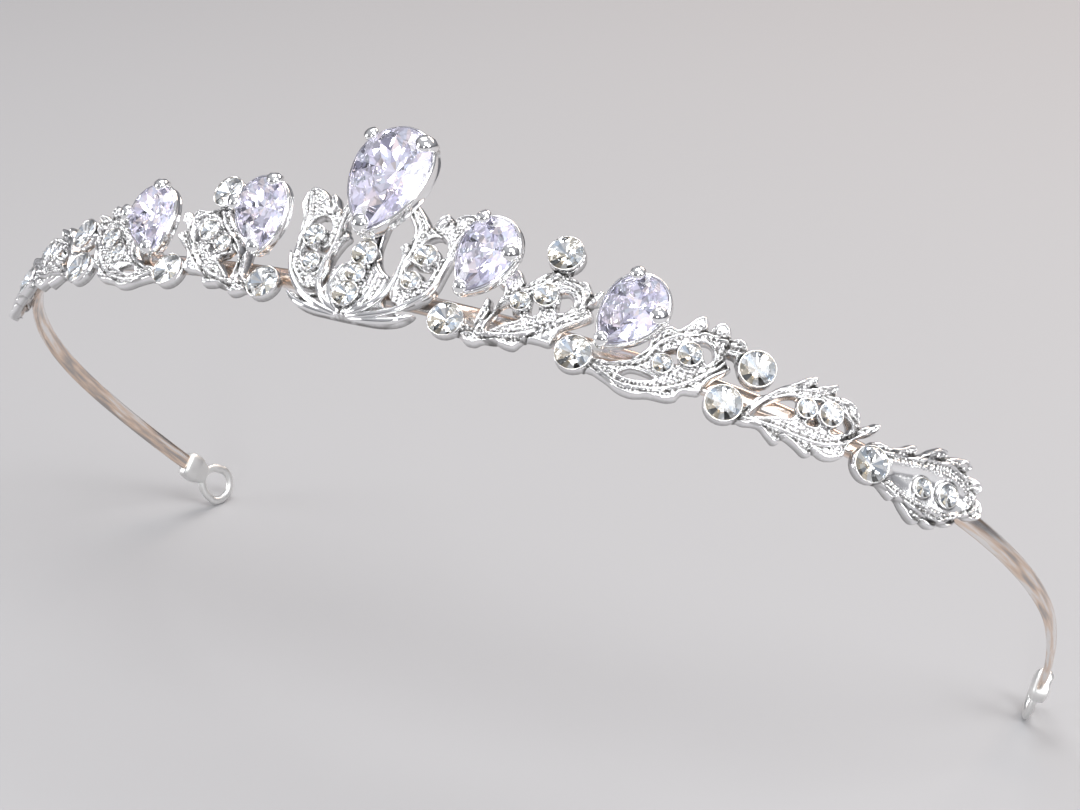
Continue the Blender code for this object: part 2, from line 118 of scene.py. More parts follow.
def on_vine(s, z, off):
    """Points of the vine's frame, from distance along the band, height and standoff."""
    x, y, heading = along_band(s)
    return np.stack([x + np.sin(heading) * off, y - np.cos(heading) * off, z + 0.0 * x], -1)


def seat(s, z, off, lean=0.0, tip=0.0, space=VINE):
    """A frame at a place on the vine: X along the band, Y up, Z outwards, then leant and tipped."""
    x, y, heading = along_band(s)
    place = Matrix.Translation(Vector(on_vine(s, z, off)))
    turn = Matrix.Rotation(float(heading), 4, "Z") @ Matrix.Rotation(math.radians(90.0), 4, "X")
    leant = Matrix.Rotation(math.radians(lean), 4, "Z") @ Matrix.Rotation(math.radians(tip), 4, "X")
    return space @ place @ turn @ leant


def add_mesh(name, verts, faces, material, space, smooth=True, mirrored=False):
    """A piece from points in millimetres of the given frame. A mirrored one is its left twin.

    With several materials the first is the body's, and each pavilion facet takes one of the others.
    """
    points = np.asarray(verts, float)
    matrix = np.array(space)
    points = points @ matrix[:3, :3].T + matrix[:3, 3]
    if mirrored:
        points = points * (-1.0, 1.0, 1.0)
        faces = [tuple(face[::-1]) for face in faces]
    mesh = bpy.data.meshes.new(name)
    mesh.from_pydata((points * MM).tolist(), [], faces)
    mesh.validate()
    mesh.update()
    mesh.polygons.foreach_set("use_smooth", [smooth] * len(mesh.polygons))
    kinds = material if isinstance(material, tuple) else (material,)
    for kind in kinds:
        mesh.materials.append(kind)
    if len(kinds) > 1:
        behind = [max(verts[i][2] for i in face) < PAVILION_FROM for face in faces]
        pick = [1 + int(scatter(float(i), 3.0, 5.0) * (len(kinds) - 1)) for i in range(len(faces))]
        chosen = [pick[i] if behind[i] else 0 for i in range(len(faces))]
        mesh.polygons.foreach_set("material_index", chosen)
    piece = bpy.data.objects.new(name, mesh)
    bpy.context.scene.collection.objects.link(piece)
    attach(piece, "root")
    return piece


def arc(cx, cy, radius, start_deg, end_deg, steps):
    """Points on a circle from one angle to another, both ends included."""
    angles = np.radians(np.linspace(start_deg, end_deg, steps + 1))
    return [(cx + radius * math.cos(a), cy + radius * math.sin(a)) for a in angles]


def smooth_run(points, steps=5):
    """Points on a smooth curve through the given ones. The last point is left out."""
    found = []
    for i in range(len(points) - 1):
        p1 = np.array(points[i], float)
        p2 = np.array(points[i + 1], float)
        p0 = np.array(points[i - 1], float) if i > 0 else p1
        p3 = np.array(points[i + 2], float) if i + 2 < len(points) else p2
        for t in np.arange(steps) / steps:
            linear = (p2 - p0) * t
            square = (2.0 * p0 - 5.0 * p1 + 4.0 * p2 - p3) * t ** 2
            cube = (3.0 * p1 - p0 - 3.0 * p2 + p3) * t ** 3
            found.append(tuple((2.0 * p1 + linear + square + cube) / 2.0))
    return found


def curve_through(points):
    """Points on a smooth curve through the given ones, both ends included."""
    return smooth_run(points) + [tuple(points[-1])]


def lobes(*runs):
    """A line of smooth lobes, with a corner where one lobe meets the next."""
    line = []
    for points, following in zip(runs, runs[1:]):
        line.extend(smooth_run(points + following[:1]))
    return line + smooth_run(runs[-1]) + runs[-1][-1:]


def lobed(*runs):
    """A closed outline of smooth lobes, with a corner where one lobe meets the next."""
    return lobes(*runs, runs[0][:1])[:-1]


def nearest(points, line, closed):
    """Each point's distance to a line, and the place on it that is nearest."""
    a = np.array(line, float)
    b = np.roll(a, -1, 0) if closed else a[1:]
    if not closed:
        a = a[:-1]
    edge = b - a
    span = np.maximum((edge ** 2).sum(1), 1e-12)
    best = np.full(len(points), 1e9)
    place = np.zeros((len(points), 2))
    share = np.zeros(len(points))
    for i in range(len(a)):
        t = np.clip(((points - a[i]) @ edge[i]) / span[i], 0.0, 1.0)
        spot = a[i] + t[:, None] * edge[i]
        far = np.hypot(*(points - spot).T)
        closer = far < best
        best = np.where(closer, far, best)
        place[closer] = spot[closer]
        share[closer] = (i + t[closer]) / len(a)
    return best, place, share


def inside(points, outline):
    """Whether each point is inside a closed outline, by counting crossings."""
    odd = np.zeros(len(points), bool)
    a = np.array(outline, float)
    for p, q in zip(a, np.roll(a, -1, 0)):
        crosses = (p[1] > points[:, 1]) != (q[1] > points[:, 1])
        rise = q[1] - p[1] if q[1] != p[1] else 1e-12
        odd ^= crosses & (points[:, 0] < (q[0] - p[0]) * (points[:, 1] - p[1]) / rise + p[0])
    return odd


def scatter(i, j, salt):
    """A steady pseudo-random number from 0 to 1 for each cell."""
    value = np.sin(i * 12.9898 + j * 78.233 + salt * 37.719) * 43758.5453
    return value - np.floor(value)


def beads(points, pitch):
    """Height from 0 to 1 of a field of small cast beads, packed unevenly."""
    cell = np.floor(points / pitch)
    tallest = np.zeros(len(points))
    for di in (-1, 0, 1):
        for dj in (-1, 0, 1):
            i = cell[:, 0] + di
            j = cell[:, 1] + dj
            cx = (i + 0.25 + 0.5 * scatter(i, j, 1.0)) * pitch
            cy = (j + 0.25 + 0.5 * scatter(i, j, 2.0)) * pitch
            size = pitch * (0.46 + 0.22 * scatter(i, j, 3.0))
            far = np.hypot(points[:, 0] - cx, points[:, 1] - cy) / size
            tallest = np.maximum(tallest, np.sqrt(np.clip(1.0 - far ** 2, 0.0, 1.0)))
    return tallest


def bump(distance, middle, half):
    """A rounded rail of height 1 along a line at a distance."""
    return np.sqrt(np.clip(1.0 - ((distance - middle) / half) ** 2, 0.0, 1.0))


def turns(outline):
    """The valleys between an outline's lobes, and each lobe's tip."""
    a = np.array(outline, float)
    before = a - np.roll(a, 1, 0)
    after = np.roll(a, -1, 0) - a
    area = 0.5 * np.sum(a[:, 0] * after[:, 1] - a[:, 1] * after[:, 0])
    cross = before[:, 0] * after[:, 1] - before[:, 1] * after[:, 0]
    turn = np.degrees(np.arctan2(cross, (before * after).sum(1))) * np.sign(area)
    valleys = [i for i in range(len(a)) if turn[i] < -28.0]
    tips = []
    for i, j in zip(valleys, valleys[1:] + [valleys[0] + len(a)]):
        run = a[np.arange(i, j + 1) % len(a)]
        chord = run[-1] - run[0]
        rise = np.abs(chord[0] * (run[:, 1] - run[0, 1]) - chord[1] * (run[:, 0] - run[0, 0]))
        if len(run) > 4 and rise.max() > 0.35 * max(np.hypot(*chord), 0.5):
            tips.append(run[int(np.argmax(rise))])
    return a[valleys], np.array(tips)


def inward(spot, rib, back, share):
    """A short line from a place on the edge towards the leaf's rib, swept back to its foot."""
    line = np.array(curve_through(rib))
    near = int(np.argmin(np.hypot(*(line - spot).T)))
    goal = line[max(0, near - back)]
    reach = (goal - spot) * share
    bow = np.array((-reach[1], reach[0])) * 0.10
    return [spot, spot + reach * 0.5 + bow, spot + reach]


def crease(points, lines, width):
    """1 along the lines, falling to 0 at a width, and fading towards each line's far end."""
    level = np.zeros(len(points))
    for line in lines:
        far, _, share = nearest(points, line, False)
        level = np.maximum(level, np.exp(-((far / width) ** 2)) * np.clip(1.25 - share, 0.0, 1.0))
    return level


def sunk(points, height, seats):
    """The height, lowered to a flat seat under each set stone's cup."""
    for s, z, radius in seats:
        far = np.hypot(points[:, 0] - s, points[:, 1] - z)
        level = np.clip((radius - far) / 0.15, 0.0, 1.0)
        height = height * (1.0 - level) + np.minimum(height, SEAT_LEVEL) * level
    return height


def relief(points, outline, holes, ribs, front, dish):
    """How far each point of a casting stands out (rails round its edges, beads, ribs and lobes), and its
    painted shade.
    """
    outer, _, _ = nearest(points, outline, True)
    inner = np.full(len(points), 9.0)
    for hole in holes:
        inner = np.minimum(inner, nearest(points, hole, True)[0])
    edge = np.minimum(outer, inner)
    valleys, tips = turns(outline)
    cuts = []
    crests = []
    for rib in ribs:
        near_rib = np.array(curve_through(rib))
        for spot in valleys:
            if np.hypot(*(near_rib - spot).T).min() < RIB_REACH:
                cuts.append(inward(spot, rib, 4, 0.78))
        for spot in tips:
            if np.hypot(*(near_rib - spot).T).min() < RIB_REACH:
                crests.append(inward(spot, rib, 4, 0.85))
    cut = crease(points, cuts, 0.13)
    valley = crease(points, cuts, 0.36)
    crest = crease(points, crests, 0.26)
    spine = np.zeros(len(points))
    groove = np.zeros(len(points))
    reach = np.full(len(points), 99.0)
    for rib in ribs:
        far, _, _ = nearest(points, curve_through(rib), False)
        reach = np.minimum(reach, far)
        spine = np.maximum(spine, np.exp(-((far / 0.17) ** 2)))
        groove = np.maximum(groove, np.exp(-(((far - 0.36) / 0.10) ** 2)))
    fall = 1.0 - np.clip(edge / 0.50, 0.0, 1.0)
    rails = np.maximum(0.17 * bump(outer, 0.29, 0.17), 0.24 * bump(inner, 0.30, 0.19))
    moat = np.maximum(np.exp(-(((outer - 0.50) / 0.08) ** 2)), np.exp(-(((inner - 0.53) / 0.08) ** 2)))
    grain = beads(points, BEAD_PITCH)
    pave = np.clip((edge - 0.50) / 0.12, 0.0, 1.0) * (1.0 - spine) * (1.0 - cut) * (1.0 - 0.8 * crest)
    pave *= np.clip((0.64 - reach / (reach + outer + 0.01)) / 0.12, 0.0, 1.0)
    detail = rails + 0.26 * crest + 0.22 * spine - 0.30 * cut - 0.34 * valley - 0.16 * groove - 0.10 * moat
    detail += pave * (0.22 * grain - 0.14)
    # Painted shade: darker in the cuts, grooves and moats, between the beads, and (below) along the edge.
    shade = 0.9 * cut + 0.55 * groove + 0.45 * moat + pave * (1.0 - grain) * 0.8
    height = front - 0.80 * (1.0 - np.sqrt(1.0 - fall ** 2))
    if dish is None:
        return height + detail, shade + 0.5 * (edge < 0.02)
    far, _, _ = nearest(points, dish, True)
    within = np.where(inside(points, dish), far, -far)
    hollow = np.clip(within / 0.30, 0.0, 1.0)
    bowl = 0.62 * np.sin(np.clip(within / 1.6, 0.0, 1.0) * math.pi / 2)
    wall = np.exp(-((within / 0.20) ** 2))
    height += detail * (1.0 - hollow) - bowl + 0.24 * wall
    return height, (shade + 0.5 * (edge < 0.02)) * (1.0 - hollow)


def add_casting(name, outline, holes, ribs, front, seats, swell=None, dish=None, sides=(1, -1)):
    """A cast leaf: a fine grid trimmed to its outline, with relief in front, a hollowed back, and painted
    shade in its hollows, round its cups and over its back.
    """
    a = np.array(outline, float)
    low = a.min(0) - GRID
    count = np.ceil((a.max(0) - low) / GRID).astype(int) + 2
    columns = low[0] + GRID * np.arange(count[0])
    rows = low[1] + GRID * np.arange(count[1])
    s, z = np.meshgrid(columns, rows, indexing="ij")
    flat = np.stack([s.ravel(), z.ravel()], 1)
    middle = flat + GRID / 2
    kept = inside(middle, outline)
    for hole in holes:
        kept &= ~inside(middle, hole)
    i, j = np.unravel_index(np.flatnonzero(kept), s.shape)
    first = i * count[1] + j
    corner = np.stack([first, first + count[1], first + count[1] + 1, first + 1], 1)
    used, corner = np.unique(corner, return_inverse=True)
    corner = corner.reshape(-1, 4)
    points = flat[used]
    shared = np.bincount(corner.ravel(), minlength=len(used))
    rim = np.flatnonzero(shared < 4)
    best, place, _ = nearest(points[rim], outline, True)
    for hole in holes:
        far, spot, _ = nearest(points[rim], hole, True)
        place = np.where((far < best)[:, None], spot, place)
        best = np.minimum(far, best)
    points[rim] = np.where((best < GRID)[:, None], place, points[rim])
    height, shade = relief(points, outline, holes, ribs, front, dish)
    if swell is not None:
        height += swell(points)
    height = sunk(points, height, seats)
    # Painted shade: a dark ring round each stone's cup.
    for at, up, radius in seats:
        gap = np.hypot(points[:, 0] - at, points[:, 1] - up) - radius - 0.25
        shade = np.maximum(shade, 0.85 * np.exp(-((gap / 0.11) ** 2)))
    edge = nearest(points, outline, True)[0]
    for hole in holes:
        edge = np.minimum(edge, nearest(points, hole, True)[0])
    hollow = 0.25 * np.clip((edge - 0.2) / 0.5, 0.0, 1.0)
    back = np.minimum(front - BACK_DEPTH + hollow, height - 0.15)
    top = on_vine(points[:, 0], points[:, 1], height)
    base = on_vine(points[:, 0], points[:, 1], back)
    faces = [tuple(face) for face in corner]
    under = [tuple(face[::-1] + len(points)) for face in corner]
    edges = {}
    for face in corner:
        for p, q in zip(face, np.roll(face, -1)):
            edges[(p, q)] = True
    walls = [(q, p, p + len(points), q + len(points)) for p, q in edges if (q, p) not in edges]
    verts = np.concatenate([top, base])
    # The back and the inner ends of the walls get a flat painted shade.
    shades = np.concatenate([shade, np.full(len(points), 0.35)])
    for side in sides:
        label = name if len(sides) == 1 else name + ("_right" if side > 0 else "_left")
        piece = add_mesh(label + "_cast", verts, faces + under + walls, CAST, VINE, True, side < 0)
        shade_paint = piece.data.attributes.new("painted_shade", "FLOAT", "POINT")
        shade_paint.data.foreach_set("value", np.clip(shades, 0.0, 1.0).astype(np.float32))
        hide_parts(label)


def ring_sweep(outline, profile):
    """A closed section of (outward offset, height) carried round a closed outline."""
    a = np.array(outline, float)
    along = np.roll(a, -1, 0) - np.roll(a, 1, 0)
    normal = np.stack([along[:, 1], -along[:, 0]], 1)
    normal /= np.maximum(np.hypot(*normal.T), 1e-9)[:, None]
    n = len(profile)
    verts = []
    for spot, out in zip(a, normal):
        for offset, height in profile:
            verts.append((*(spot + out * offset), height))
    faces = []
    for i in range(len(a)):
        for k in range(n):
            i2 = (i + 1) % len(a)
            k2 = (k + 1) % n
            faces.append((i * n + k, i2 * n + k, i2 * n + k2, i * n + k2))
    return verts, faces


def tube(path, radii, sides=14):
    """A round rod along a 3-D path, with a radius at each point and flat ends."""
    p = np.array(path, float)
    along = np.gradient(p, axis=0)
    along /= np.linalg.norm(along, axis=1)[:, None]
    across = np.cross(along, (0.13, 0.2, 1.0))
    across /= np.linalg.norm(across, axis=1)[:, None]
    other = np.cross(along, across)
    verts = []
    for spot, u, v, r in zip(p, across, other, radii):
        for k in range(sides):
            t = 2.0 * math.pi * k / sides
            verts.append(spot + (u * math.cos(t) + v * math.sin(t)) * r)
    faces = [tuple(range(sides))[::-1], tuple(range(len(verts) - sides, len(verts)))]
    for i in range(len(p) - 1):
        for k in range(sides):
            k2 = (k + 1) % sides
            faces.append((i * sides + k, i * sides + k2, (i + 1) * sides + k2, (i + 1) * sides + k))
    return verts, faces


def joined(*parts):
    """Several meshes' points and faces as one."""
    verts = []
    faces = []
    for points, loops in parts:
        start = len(verts)
        verts.extend([tuple(point) for point in points])
        faces.extend([tuple(index + start for index in loop) for loop in loops])
    return verts, faces


def pear(length, width, steps=14):
    """A pear outline: a half circle above, and one arc a side that meets its twin in a point."""
    r = width / 2
    middle = length / 2 - r
    drop = middle + length / 2
    flank = (r * r + drop * drop) / width
    sweep = math.degrees(math.asin(drop / flank))
    right = arc(r - flank, middle, flank, -sweep, 0.0, steps)
    top = arc(0.0, middle, r, 0.0, 180.0, 2 * steps)
    left = arc(flank - r, middle, flank, 180.0, 180.0 + sweep, steps)
    return right + top[1:] + left[1:-1]


def directions(outline, turns_wanted, heart):
    """The outline's points, in each wanted direction from a place on its axis and relative to it."""
    a = np.array(outline, float) - (0.0, heart)
    angle = np.arctan2(a[:, 1], a[:, 0])
    order = np.argsort(angle)
    angle = angle[order]
    radius = np.hypot(a[:, 0], a[:, 1])[order]
    wanted = (np.array(turns_wanted) + math.pi) % (2.0 * math.pi) - math.pi
    found = np.interp(wanted, angle, radius, period=2.0 * math.pi)
    return np.stack([found * np.cos(wanted), found * np.sin(wanted)], 1)


def brilliant(outline, mains, crown, depth, table, girdle, heart=0.0, tiers=True):
    """A brilliant cut: table, stars, kites and girdle facets over a pavilion in tiers or in wedges."""
    start = -math.pi / 2
    step = 2.0 * math.pi / mains
    whole = [start + step * k for k in range(mains)]
    half = [turn + step / 2 for turn in whole]
    verts = []

    def tier(turns_wanted, scale, height):
        first = len(verts)
        spots = directions(outline, turns_wanted, heart)
        verts.extend([(x * scale, heart + y * scale, height) for x, y in spots])
        return first

    t = tier(whole, table, crown)
    m = tier(half, table + 0.62 * (1.0 - table), crown * 0.46)
    g = tier([turn for pair in zip(whole, half) for turn in pair], 1.0, girdle)
    h = tier([turn for pair in zip(whole, half) for turn in pair], 1.0, -girdle)
    c = tier([0.0], 0.02, -depth)
    if tiers:
        p = tier(half, 0.74, -depth * 0.36)
        q = tier(whole, 0.48, -depth * 0.64)
        r = tier(half, 0.24, -depth * 0.86)
    faces = [tuple(range(t, t + mains))]
    for k in range(mains):
        n = (k + 1) % mains
        g0 = 2 * k
        g1 = 2 * k + 1
        g2 = (2 * k + 2) % (2 * mains)
        faces.append((t + k, m + k, t + n))
        faces.append((t + k, g + g0, m + k))
        faces.append((t + n, m + k, g + g2))
        faces.append((m + k, g + g0, g + g1))
        faces.append((m + k, g + g1, g + g2))
        faces.append((g + g0, h + g0, h + g1, g + g1))
        faces.append((g + g1, h + g1, h + g2, g + g2))
        if not tiers:
            faces.append((c, h + g1, h + g0))
            faces.append((c, h + g2, h + g1))
            continue
        faces.append((p + k, h + g1, h + g0))
        faces.append((p + k, h + g2, h + g1))
        faces.append((q + k, p + k, h + g0))
        faces.append((q + n, h + g2, p + k))
        faces.append((q + k, q + n, p + k))
        faces.append((r + k, q + n, q + k))
        faces.append((q + n, r + k, r + n))
        faces.append((c, r + n, r + k))
    return verts, faces


def metal(name, bright, rough, grain, bump_size, painted_shade=None):
    """Plated metal: slightly clouded colour and gloss, fine casting grain, and, where a dark colour is given,
    painted shade in its creases.
    """
    material = bpy.data.materials.new(name)
    material.use_nodes = True
    nodes = material.node_tree.nodes
    links = material.node_tree.links
    shader = nodes["Principled BSDF"]
    shader.inputs["Metallic"].default_value = 1.0
    place = nodes.new("ShaderNodeTexCoord")
    cloud = nodes.new("ShaderNodeTexNoise")
    cloud.inputs["Scale"].default_value = 260.0
    cloud.inputs["Detail"].default_value = 4.0
    links.new(place.outputs["Object"], cloud.inputs["Vector"])
    tint = nodes.new("ShaderNodeValToRGB")
    tint.color_ramp.elements[0].position = 0.30
    tint.color_ramp.elements[0].color = (*[v * 0.93 for v in bright], 1.0)
    tint.color_ramp.elements[1].position = 0.62
    tint.color_ramp.elements[1].color = (*bright, 1.0)
    links.new(cloud.outputs["Fac"], tint.inputs["Fac"])
    colour = tint.outputs["Color"]
    # Painted shade: a mesh attribute blends the colour towards a dark grey in creases, grooves and at edges.
    if painted_shade is not None:
        shade_paint = nodes.new("ShaderNodeAttribute")
        shade_paint.attribute_name = "painted_shade"
        blend = nodes.new("ShaderNodeMix")
        blend.data_type = "RGBA"
        links.new(shade_paint.outputs["Fac"], blend.inputs["Factor"])
        links.new(colour, blend.inputs["A"])
        blend.inputs["B"].default_value = (*painted_shade, 1.0)
        colour = blend.outputs["Result"]
    links.new(colour, shader.inputs["Base Color"])
    gloss = nodes.new("ShaderNodeMapRange")
    gloss.inputs["From Min"].default_value = 0.3
    gloss.inputs["From Max"].default_value = 0.7
    gloss.inputs["To Min"].default_value = rough
    gloss.inputs["To Max"].default_value = rough * 1.6
    links.new(cloud.outputs["Fac"], gloss.inputs["Value"])
    links.new(gloss.outputs["Result"], shader.inputs["Roughness"])
    pits = nodes.new("ShaderNodeTexNoise")
    pits.inputs["Scale"].default_value = grain
    pits.inputs["Detail"].default_value = 2.0
    links.new(place.outputs["Object"], pits.inputs["Vector"])
    lift = nodes.new("ShaderNodeBump")
    lift.inputs["Distance"].default_value = bump_size * MM
    lift.inputs["Strength"].default_value = 0.5
    links.new(pits.outputs["Fac"], lift.inputs["Height"])
    links.new(lift.outputs["Normal"], shader.inputs["Normal"])
    return material


def gem(name, light, deep, index):
    """Clear cut stone with a faint uneven tint inside."""
    material = bpy.data.materials.new(name)
    material.use_nodes = True
    nodes = material.node_tree.nodes
    links = material.node_tree.links
    shader = nodes["Principled BSDF"]
    shader.inputs["Roughness"].default_value = 0.0
    shader.inputs["IOR"].default_value = index
    shader.inputs["Transmission Weight"].default_value = 1.0
    place = nodes.new("ShaderNodeTexCoord")
    cloud = nodes.new("ShaderNodeTexNoise")
    cloud.inputs["Scale"].default_value = 420.0
    links.new(place.outputs["Object"], cloud.inputs["Vector"])
    tint = nodes.new("ShaderNodeValToRGB")
    tint.color_ramp.elements[0].position = 0.35
    tint.color_ramp.elements[0].color = (*deep, 1.0)
    tint.color_ramp.elements[1].position = 0.65
    tint.color_ramp.elements[1].color = (*light, 1.0)
    links.new(cloud.outputs["Fac"], tint.inputs["Fac"])
    links.new(tint.outputs["Color"], shader.inputs["Base Color"])
    return material


# The cast silver's last colour is the dark grey of its painted shade.
CAST = metal("cast_silver", (0.96, 0.96, 0.965), 0.16, 2600.0, 0.02, (0.16, 0.155, 0.15))
POLISHED = metal("polished_silver", (0.95, 0.95, 0.955), 0.08, 1500.0, 0.010)


def drawn_strip():
    """Band metal: satin grey white, clouded with long grey and peach streaks along the strip."""
    material = metal("band_silver", (0.86, 0.84, 0.82), 0.16, 900.0, 0.012)
    nodes = material.node_tree.nodes
    links = material.node_tree.links
    place = nodes.new("ShaderNodeAttribute")
    place.attribute_name = "drawn"
    streaks = nodes.new("ShaderNodeTexNoise")
    streaks.inputs["Scale"].default_value = 1.0
    streaks.inputs["Detail"].default_value = 3.0
    tint = nodes.new("ShaderNodeValToRGB")
    tint.color_ramp.elements[0].position = 0.36
    tint.color_ramp.elements[0].color = (0.46, 0.43, 0.41, 1.0)
    tint.color_ramp.elements[1].position = 0.60
    tint.color_ramp.elements[1].color = (0.86, 0.84, 0.82, 1.0)
    peach = tint.color_ramp.elements.new(0.48)
    peach.color = (0.80, 0.63, 0.51, 1.0)
    links.new(place.outputs["Vector"], streaks.inputs["Vector"])
    links.new(streaks.outputs["Fac"], tint.inputs["Fac"])
    links.new(tint.outputs["Color"], nodes["Principled BSDF"].inputs["Base Color"])
    return material


STRIP = drawn_strip()


def facets(name, kinds):
    """Pavilion mirrors with painted glints: each facet has its own tint and brightness, and most glow as if
    lit.
    """
    made = []
    for level, (tint, painted_glow) in enumerate(kinds):
        facet = metal(f"{name}_{level}", tint, 0.02, 700.0, 0.001)
        shader = facet.node_tree.nodes["Principled BSDF"]
        # Painted light: the facet glows in its own tint.
        shader.inputs["Emission Color"].default_value = (*tint, 1.0)
        shader.inputs["Emission Strength"].default_value = painted_glow
        made.append(facet)
    return made


# Painted glints for the cubic zirconia: lavender, pink and blue facets, most of them glowing, one dull and
# darker.
CUBIC_PAINTED_GLINTS = facets(
    "cubic_painted_glint",
    (
        ((0.91, 0.89, 1.0), 0.42),
        ((0.91, 0.89, 1.0), 0.28),
        ((0.88, 0.87, 1.0), 0.14),
        ((1.00, 0.92, 0.93), 0.34),
        ((0.86, 0.90, 1.0), 0.30),
        ((0.66, 0.66, 0.74), 0.00),
    ),
)
# Painted glints for the glass stones: grey, gold and blue facets of uneven brightness, most of them glowing,
# one dark.
GLASS_PAINTED_GLINTS = facets(
    "glass_painted_glint",
    (
        ((0.88, 0.89, 0.90), 0.17),
        ((0.74, 0.75, 0.77), 0.05),
        ((0.94, 0.95, 0.97), 0.30),
        ((0.95, 0.87, 0.74), 0.14),
        ((0.36, 0.37, 0.38), 0.00),
        ((0.78, 0.86, 0.97), 0.17),
    ),
)
SATIN = metal("satin_silver", (0.80, 0.80, 0.79), 0.34, 1300.0, 0.05)
LACQUER = metal("gold_lacquer", (0.52, 0.45, 0.34), 0.20, 1800.0, 0.02)
GLASS = gem("clear_glass", (0.985, 0.985, 0.98), (0.95, 0.955, 0.95), 1.56)
CUBIC = gem("cubic_zirconia", (0.985, 0.98, 1.0), (0.955, 0.94, 1.0), 1.62)


def circle(radius, steps):
    """A closed circle of points."""
    return arc(0.0, 0.0, radius, 0.0, 360.0, steps)[:-1]


def both(name, part, shape, material, space, sides, smooth, stands_for=None):
    """Adds the right piece of a shape and, where there are two, its mirrored left twin."""
    for side in sides:
        place = "" if len(sides) == 1 else ("_right" if side > 0 else "_left")
        piece = add_mesh(name + place + part, *shape, material, space, smooth, side < 0)
        if stands_for is not None:
            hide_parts(stands_for + place)


def add_round_stone(name, s, height, diameter, off, sides=(1, -1)):
    """A foil-back stone: glass crown, mirrored pavilion with painted glints and glow, lacquered girdle and a
    turned cup.
    """
    space = seat(s, height, off)
    r = diameter / 2
    glass = brilliant(circle(r, 96), 8, 0.26 * r, 0.52 * r, 0.62, 0.02 * r, tiers=False)
    both(name, "_glass", glass, (GLASS, *GLASS_PAINTED_GLINTS), space, sides, False, name)
    base = 0.75 - off
    lip = [(0.01, -0.10), (0.01, 0.05), (0.05, 0.12), (0.11, 0.10), (0.14, -0.04), (0.09, -0.32)]
    lip += [(-0.10, -0.60), (-0.42 * r, -0.86), (-0.50 * r, base), (-0.62 * r, base), (-0.60 * r, -0.70)]
    cup = ring_sweep(circle(r, 40), lip)
    both(name, "_cup", cup, POLISHED, space, sides, True)
    seam = ring_sweep(circle(r, 40), [(0.0, -0.04), (-0.01, 0.065), (0.03, 0.07), (0.03, -0.04)])
    both(name, "_seam", seam, LACQUER, space, sides, True)


def claw(x, y, ux, uy, head):
    """A claw from the collet's foot, up past the girdle, to a hooded head over the stone."""
    shape = ((-0.75, -2.5, 0.30), (-0.30, -1.6, 0.36), (0.05, -0.8, 0.42), (0.20, -0.1, 0.48))
    shape += ((0.14, 0.4, 0.56), (-0.14, 0.80, 0.62), (-0.52, 0.98, 0.60), (-0.90, 0.96, 0.46))
    shape += ((-1.14, 0.84, 0.18),)
    path = [(x + ux * reach * head, y + uy * reach * head, height * head) for reach, height, _ in shape]
    radii = [radius * head for _, _, radius in shape]
    verts, faces = tube(path, radii)
    side = np.array((-uy, ux, 0.0))
    points = np.array(verts)
    across = (points - (x, y, 0.0)) @ side
    flare = 1.0 + 0.55 * np.clip(points[:, 2] / head, 0.0, 1.0)
    return points + side * (across * (flare - 1.0))[:, None], faces


def add_pear(name, s, height, off, length, width, lean, tip, claws, sides=(1, -1)):
    """A pear brilliant in a walled collet with a foot rail, and hooded claws of (angle, share of size)."""
    space = seat(s, height, off, lean, tip)
    outline = pear(length, width)
    stone = brilliant(outline, 12, 0.12 * width, 0.36 * width, 0.60, 0.08, 0.12 * length)
    label = "pear_stone" + name
    # The pavilion's facets are mirrors with painted glints and glow.
    both(label, "_cut", stone, (CUBIC, *CUBIC_PAINTED_GLINTS), space, sides, False, label)
    deep = 0.2 * width + 0.05
    wall = [(-0.45, -0.55), (-0.30, -0.22), (-0.02, -0.13), (0.20, -0.20), (0.28, -0.42), (0.20, -0.62)]
    wall += [(0.17, 0.20 - deep), (0.24, 0.10 - deep), (0.16, -deep), (-0.10, -deep), (-0.36, 0.2 - deep)]
    upper = ring_sweep(outline, wall)
    foot_outline = pear(length * 0.74, width * 0.70)
    foot = [(0.20, -1.75), (0.44, -1.95), (0.40, -2.25), (0.20, -2.40), (-0.02, -2.25), (0.04, -1.90)]
    lower = ring_sweep(foot_outline, foot)
    middle = length / 2 - width / 2
    parts = [upper, lower]
    size = 0.42 + 0.078 * width
    parts.append(claw(0.0, -length / 2, 0.0, -1.0, size))
    for angle, share in claws:
        a = math.radians(angle)
        ux = math.cos(a)
        uy = math.sin(a)
        parts.append(claw(ux * width / 2, middle + uy * width / 2, ux, uy, size * share))
    label = "pear_setting" + name
    both(label, "_collet", joined(*parts), POLISHED, space, sides, True, label)


def loft(rows):
    """A closed body through rows of points, each row a closed ring of the same count."""
    count = len(rows[0])
    verts = [tuple(point) for row in rows for point in row]
    faces = [tuple(range(count)), tuple(range(len(verts) - count, len(verts)))[::-1]]
    for i in range(len(rows) - 1):
        for k in range(count):
            k2 = (k + 1) % count
            faces.append((i * count + k, (i + 1) * count + k, (i + 1) * count + k2, i * count + k2))
    return verts, faces


def add_headband():
    """The strip, softly rounded on its outer face, with the streaks' own coordinates along it."""
    upper = [(1.0, 0.0), (0.94, 0.38), (0.76, 0.67), (0.40, 0.90), (-0.10, 1.0), (-0.64, 0.98)]
    upper += [(-0.92, 0.83), (-1.0, 0.50)]
    section = [(off * BAND_THICK / 2, z * BAND_HEIGHT / 2) for off, z in upper]
    section += [(off, -z) for off, z in reversed(section[1:])]
    stations = np.linspace(-BAND_END, BAND_END, 321)
    rows = np.stack([on_vine(stations, z, off) for off, z in section], 1)
    verts, faces = loft(rows)
    strip = add_mesh("headband_strip", verts, [face[::-1] for face in faces], STRIP, HOOP)
    drawn = np.zeros((len(stations), len(section), 3))
    drawn[:, :, 0] = stations[:, None] / 9.0
    drawn[:, :, 1] = [z * 1.3 for _, z in section]
    drawn[:, :, 2] = [off * 1.5 for off, _ in section]
    strip.data.attributes.new("drawn", "FLOAT_VECTOR", "POINT").data.foreach_set("vector", drawn.ravel())
    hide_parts("headband")


